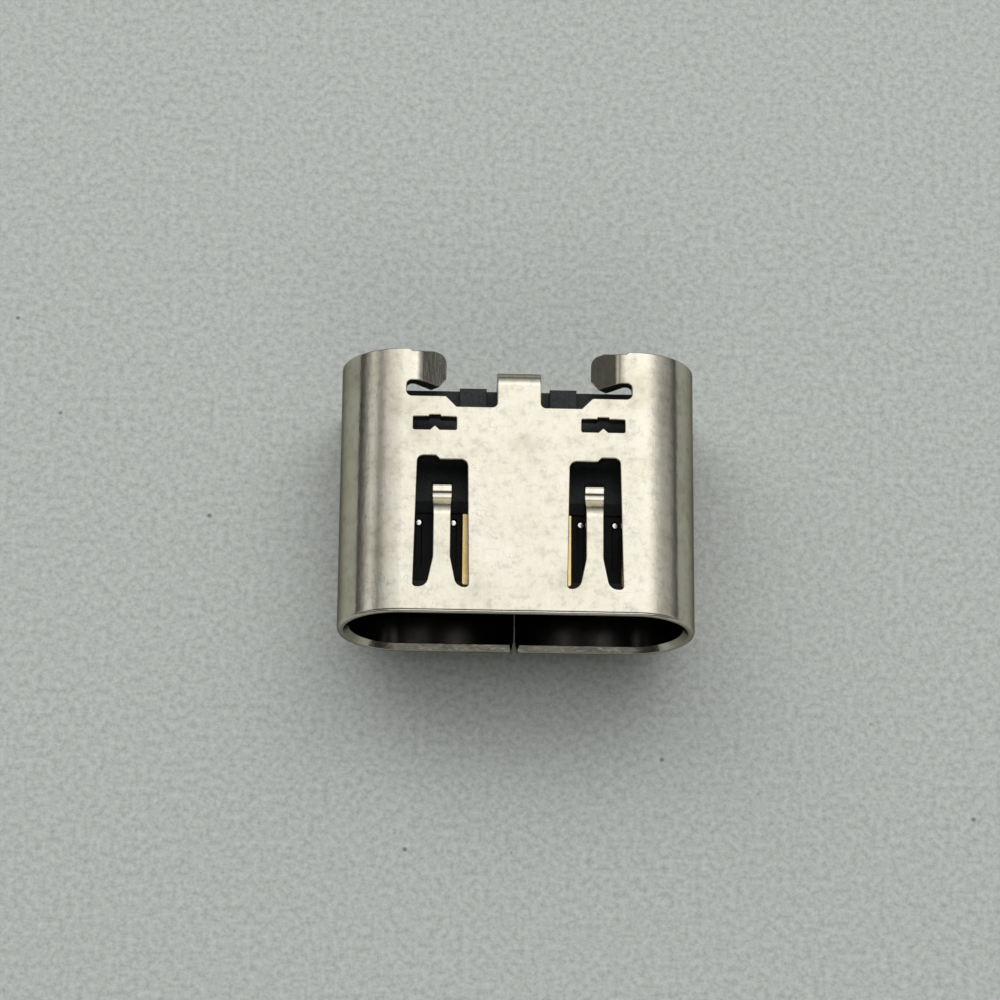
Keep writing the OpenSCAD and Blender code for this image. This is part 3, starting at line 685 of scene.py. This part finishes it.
tree.links.new(dull.outputs[0], nickel.inputs["Roughness"])
drawn = add(tree, "ShaderNodeMapping", {"Scale": (1 / (0.17 * MM), 1 / (0.55 * MM), 1 / (0.17 * MM))},
            {"Vector": place.outputs["Object"]})
ripple = add(tree, "ShaderNodeTexNoise", {"Scale": 1.0, "Detail": 3.0, "Roughness": 0.6},
             {"Vector": drawn.outputs[0]})
waves = add(tree, "ShaderNodeBump", {"Strength": 1.0, "Distance": 0.004 * MM},
            {"Height": ripple.outputs["Fac"]})
grain = add(tree, "ShaderNodeTexNoise", {"Scale": 1 / (0.05 * MM), "Detail": 3.0},
            {"Vector": place.outputs["Object"]})
bump = add(tree, "ShaderNodeBump", {"Strength": 0.5, "Distance": 0.002 * MM},
           {"Height": grain.outputs["Fac"], "Normal": waves.outputs[0]})
tree.links.new(bump.outputs[0], nickel.inputs["Normal"])

# The inside of the same sheet in a dark metal colour, painted shade for the dim inside: slightly rough, so
# it only glimmers.
painted_shade_inner_skin, tree, inner_shade_bsdf = new_material("inner_skin_painted_shade_metal")
inner_shade_bsdf.inputs["Metallic"].default_value = 1.0
inner_shade_bsdf.inputs["Roughness"].default_value = 0.24
place = add(tree, "ShaderNodeTexCoord")
shade_blotches = add(tree, "ShaderNodeTexNoise", {"Scale": 1 / (0.4 * MM), "Detail": 4.0},
             {"Vector": place.outputs["Object"]})
tone = add(tree, "ShaderNodeValToRGB", {}, {"Fac": shade_blotches.outputs["Fac"]})
ramp_stops(tone, [(0.35, "#2C2A27"), (0.70, "#3F3C38")])
tree.links.new(tone.outputs["Color"], inner_shade_bsdf.inputs["Base Color"])

shell = stamped("folded_shell", shell_outline, shell_holes, bend_lines, shell_fold, SHEET,
                lambda point: MOUTH_EDGE if point.y < 0.001 else SHELL_EDGE, satin_nickel)
# The faces of the inner skin get the dark painted shade colour, and the real part's inner finish is an
# assumption
shell.data.materials.append(painted_shade_inner_skin)
INNER_HALF = MIDDLE_H - SHEET + 0.02
for face in shell.data.polygons:
    x, z = abs(face.center.x) / MM, abs(face.center.z / MM - MIDDLE_H)
    faces_middle = face.normal.z * (face.center.z - MIDDLE_H * MM) < 0
    if faces_middle and math.hypot(max(0, x - FLAT_HALF), z) < INNER_HALF:
        face.material_index = 1
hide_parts("shell")

# Bench: a pale grey plastic top, moulded with a fine uneven skin, that the socket stands on by its legs.
# It is the stage, and no part of the socket.

BENCH_HALF = 500
FLOOR_Z = -0.70

# Matte moulded plastic, pale grey: a skin of shallow dimples some 0.17 mm across and a few dark specks.
bench_plastic, tree, bench_skin = new_material("matte_grey_bench")
bench_skin.inputs["Roughness"].default_value = 0.42
bench_skin.inputs["Specular IOR Level"].default_value = 0.5
place = add(tree, "ShaderNodeTexCoord")
dimples = add(tree, "ShaderNodeTexNoise", {"Scale": 1 / (0.17 * MM), "Detail": 4.0, "Roughness": 0.7},
              {"Vector": place.outputs["Object"]})
tone = add(tree, "ShaderNodeValToRGB", {}, {"Fac": dimples.outputs["Fac"]})
ramp_stops(tone, [(0.32, "#ABB0AB"), (0.50, "#C1C6C1"), (0.68, "#D0D4D0")])
specks = add(tree, "ShaderNodeTexVoronoi", {"Scale": 1 / (1.3 * MM)},
             {"Vector": place.outputs["Object"]})
dust = add(tree, "ShaderNodeValToRGB", {}, {"Fac": specks.outputs["Distance"]})
ramp_stops(dust, [(0.03, 1.0), (0.06, 0.0)])
few = add(tree, "ShaderNodeSeparateColor", {}, {"Color": specks.outputs["Color"]})
chosen = add(tree, "ShaderNodeMath", {"operation": "GREATER_THAN", 1: 0.86}, {0: few.outputs[0]})
speck = add(tree, "ShaderNodeMath", {"operation": "MULTIPLY"},
            {0: dust.outputs["Color"], 1: chosen.outputs[0]})
speckled = add(tree, "ShaderNodeMix", {"data_type": "RGBA", "B": (0.22, 0.22, 0.22, 1.0)},
               {"Factor": speck.outputs[0], 6: tone.outputs["Color"]})
tree.links.new(speckled.outputs[2], bench_skin.inputs["Base Color"])
bump = add(tree, "ShaderNodeBump", {"Strength": 0.6, "Distance": 0.02 * MM},
           {"Height": dimples.outputs["Fac"]})
tree.links.new(bump.outputs[0], bench_skin.inputs["Normal"])

bench_mesh = bpy.data.meshes.new("bench")
reach = BENCH_HALF * MM
bench_mesh.from_pydata([(-reach, -reach, 0), (reach, -reach, 0), (reach, reach, 0), (-reach, reach, 0)], [],
                       [(0, 1, 2, 3)])
bench_mesh.materials.append(bench_plastic)
bench = bpy.data.objects.new("bench", bench_mesh)
bench.location.z = FLOOR_Z * MM
bpy.context.scene.collection.objects.link(bench)

# Light: a room with a soft panel overhead, a bright strip low down in front, and dark gaps and walls.
# Its levels are set for the bands that the roof and the round sides mirror. Seen low from
# behind, the roof mirrors the dark wall in front of the mouth.

world = bpy.data.worlds.new("soft_room")
world.use_nodes = True
bpy.context.scene.world = world
tree = world.node_tree
sky = tree.nodes["Background"]
place = add(tree, "ShaderNodeTexCoord")
way = add(tree, "ShaderNodeSeparateXYZ", {}, {"Vector": place.outputs["Generated"]})
# How bright the room is at each angle from overhead, from left to right
lean = add(tree, "ShaderNodeMath", {"operation": "ARCTAN2"}, {0: way.outputs["X"], 1: way.outputs["Z"]})
turned = add(tree, "ShaderNodeMapRange", {"From Min": -math.pi, "From Max": math.pi},
             {"Value": lean.outputs[0]})
across = add(tree, "ShaderNodeValToRGB", {}, {"Fac": turned.outputs[0]})
ramp_stops(across, [((180 + angle) / 360, level) for angle, level in (
    (-100, 0.20), (-86, 0.22), (-76, 0.26), (-66, 0.42), (-58, 0.46), (-50, 0.30), (-44, 0.18), (-38, 0.28),
    (-30, 0.50), (-18, 0.67), (-6, 0.80), (2, 1.0), (28, 1.0), (36, 0.78), (44, 0.50), (52, 0.32),
    (60, 0.27), (68, 0.31), (76, 0.36), (84, 0.30), (100, 0.24))])
# The same from front to rear
tilt = add(tree, "ShaderNodeMath", {"operation": "ARCTAN2"}, {0: way.outputs["Y"], 1: way.outputs["Z"]})
tipped = add(tree, "ShaderNodeMapRange", {"From Min": -math.pi, "From Max": math.pi},
             {"Value": tilt.outputs[0]})
along = add(tree, "ShaderNodeValToRGB", {}, {"Fac": tipped.outputs[0]})
ramp_stops(along, [((180 + angle) / 360, level) for angle, level in (
    (-95, 0.03), (-69, 0.06), (-62, 1.3), (-50, 1.3), (-43, 0.10), (-27, 0.08), (-21, 0.03), (-14, 0.12),
    (-6, 0.50), (4, 0.95), (20, 1.0), (27, 1.2), (34, 1.4), (42, 1.15), (52, 0.72), (62, 0.48), (75, 0.22),
    (90, 0.08))])
both = add(tree, "ShaderNodeMix", {"data_type": "RGBA", "blend_type": "MULTIPLY", "Factor": 1.0},
           {6: across.outputs["Color"], 7: along.outputs["Color"]})
tree.links.new(both.outputs[2], sky.inputs["Color"])
sky.inputs["Strength"].default_value = 1.31

# Two soft windows behind the bench, the left one stronger, throw the shadow forward. The metal doesn't
# mirror them, because they would show as white streaks along its round sides.
for name, lean, energy in (("left_window", -0.84, 0.24), ("right_window", 0.84, 0.12)):
    lamp = bpy.data.lights.new(name, "AREA")
    lamp.size = 200 * MM
    lamp.energy = energy
    window_light = bpy.data.objects.new(name, lamp)
    toward = Vector((lean, 1.0, 1.0)).normalized()
    window_light.location = toward * 300 * MM
    window_light.rotation_euler = toward.to_track_quat("Z", "Y").to_euler()
    window_light.visible_glossy = False
    bpy.context.scene.collection.objects.link(window_light)

# Camera: looks down on the roof from the mouth's side, a little to the left and a little rolled.
# Angles are in degrees, the distance and the two slides in millimetres.

AZIMUTH, ELEVATION, ROLL = -3.87, 68.87, 4.65
DISTANCE = 104.8
AIM = Vector((0, MOUTH_Y + 3.51, 1.58))
SLIDE_RIGHT, SLIDE_UP = -0.422, 0.062
LENS = 149.4

az, el, roll = (math.radians(v) for v in (AZIMUTH, ELEVATION, ROLL))
back = Vector((math.sin(az) * math.cos(el), -math.cos(az) * math.cos(el), math.sin(el)))
level_right = Vector((math.cos(az), math.sin(az), 0))
level_up = back.cross(level_right)
right = level_right * math.cos(roll) + level_up * math.sin(roll)
up = level_up * math.cos(roll) - level_right * math.sin(roll)
camera = bpy.data.objects.new("camera", bpy.data.cameras.new("camera"))
camera.data.lens = LENS
camera.data.sensor_width = 36
camera.data.clip_start = 0.005
camera.data.clip_end = 5
spot = (AIM + back * DISTANCE + right * SLIDE_RIGHT + up * SLIDE_UP) * MM
camera.matrix_world = Matrix((right, up, back)).transposed().to_4x4()
camera.matrix_world.translation = spot
bpy.context.scene.collection.objects.link(camera)
bpy.context.scene.camera = camera
bpy.context.scene.view_settings.view_transform = "Standard"
